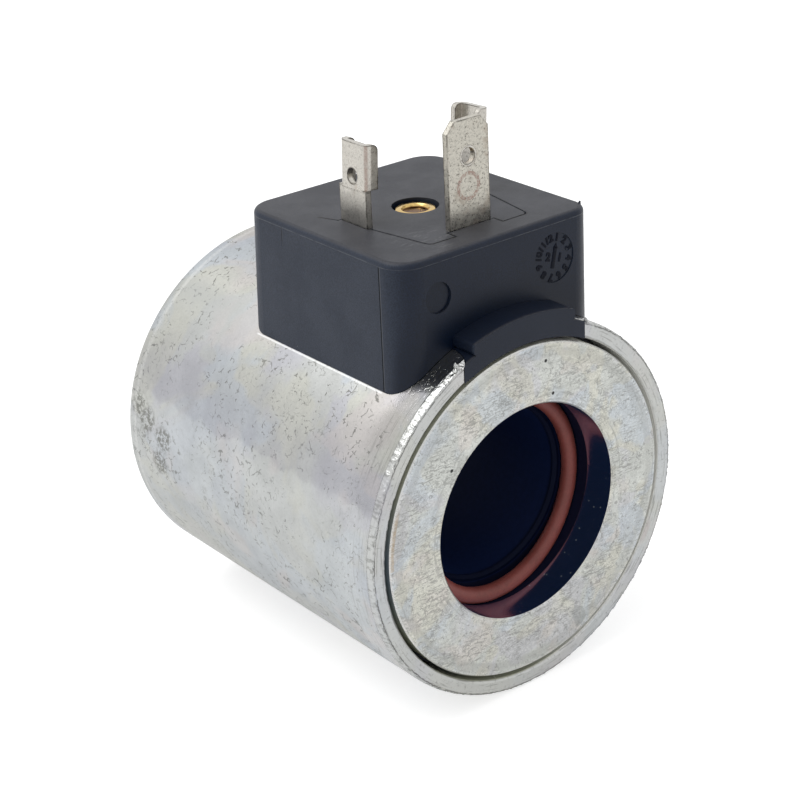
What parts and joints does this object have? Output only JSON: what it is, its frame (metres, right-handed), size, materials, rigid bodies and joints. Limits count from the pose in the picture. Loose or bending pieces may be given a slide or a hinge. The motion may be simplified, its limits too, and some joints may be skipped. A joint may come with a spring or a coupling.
{
  "type": "solenoid valve coil",
  "caption": "Round steel-cased solenoid coil with a sealed through bore, pole plates and a black moulded connector head with flat and folded pins.",
  "frame": {"origin": "on the bore axis at the coil's mid length", "axes": "Y along the bore with the open front end of the can at -Y, +Z out of the connector head along the pins, X across"},
  "size_m": [0.049, 0.054, 0.0724],
  "materials": {
    "can_zinc": "zinc plated, pale iridescent passivation, scuffed",
    "plate_zinc": "zinc plated, turned and tumbled",
    "rear_plate_zinc": "zinc plated",
    "bobbin_plastic": "glass filled nylon",
    "copper_wire": "enamelled copper",
    "tape_film": "polyester tape",
    "seal_rubber": "reddish brown fluorocarbon rubber, satin",
    "black_moulding": "fine eroded texture",
    "carrier_plastic": "fine eroded texture",
    "tinned_brass": "tin plated brass, dull",
    "tinned_blade": "tin plated brass, dull and pitted",
    "insert_brass": "turned",
    "solder": "soft solder"
  },
  "bodies": {
    "root": {"housing_can": "can_zinc", "front_plate": "plate_zinc", "rear_plate": "rear_plate_zinc", "bobbin": "bobbin_plastic", "copper_winding": "copper_wire", "winding_tape": "tape_film", "front_seal_ring": "seal_rubber", "rear_seal_ring": "seal_rubber", "moulded_body": "black_moulding", "terminal_carrier": "carrier_plastic", "power_terminal_left": "tinned_brass", "power_terminal_right": "tinned_brass", "ground_terminal": "tinned_blade", "threaded_insert": "insert_brass", "winding_leads": "copper_wire", "solder_joints": "solder"}
  },
  "joints": []
}
